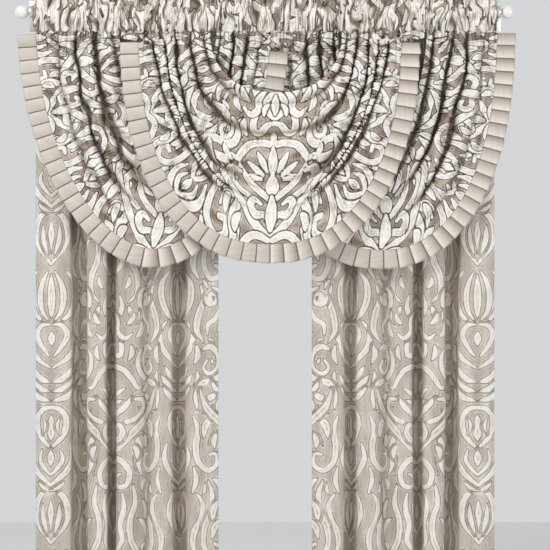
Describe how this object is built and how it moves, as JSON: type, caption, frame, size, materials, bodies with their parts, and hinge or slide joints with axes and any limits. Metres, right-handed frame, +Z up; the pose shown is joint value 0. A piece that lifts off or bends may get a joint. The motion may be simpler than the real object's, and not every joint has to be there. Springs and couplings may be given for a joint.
{
  "type": "swag and tail drape with a double curtain rod",
  "caption": "Three overlapping swags with box-pleated edging on a front rod, over a pair of long figured curtains on a back rod, with wall brackets and ball finials.",
  "frame": {"origin": "the wall line: on the wall's face at the height of the front rod's axis, halfway between the two brackets", "axes": "+X along the rods to the right as seen from the room, +Y into the wall, +Z up"},
  "size_m": [1.746, 0.1868, 2.163],
  "materials": {
    "swag_cloth": "ivory figure on a greige satin ground, woven",
    "panel_cloth": "ivory figure on a greige ground, woven, matt",
    "trim_cloth": "plain champagne satin, box pleated",
    "ball": "pearl lacquer",
    "rod": "brushed nickel"
  },
  "bodies": {
    "root": {"rod_front": "rod", "rod_back": "rod", "bracket_left": "rod", "bracket_right": "rod", "finial_left": "ball", "finial_right": "ball", "panel_left": "panel_cloth", "panel_right": "panel_cloth", "heading_left_outer": "swag_cloth", "heading_centre_left": "swag_cloth", "heading_left_inner": "swag_cloth", "heading_right_inner": "swag_cloth", "heading_centre_right": "swag_cloth", "heading_right_outer": "swag_cloth", "swag_left": "swag_cloth", "swag_centre": "swag_cloth", "swag_right": "swag_cloth", "trim_left": "trim_cloth", "trim_centre": "trim_cloth", "trim_right": "trim_cloth"}
  },
  "joints": []
}
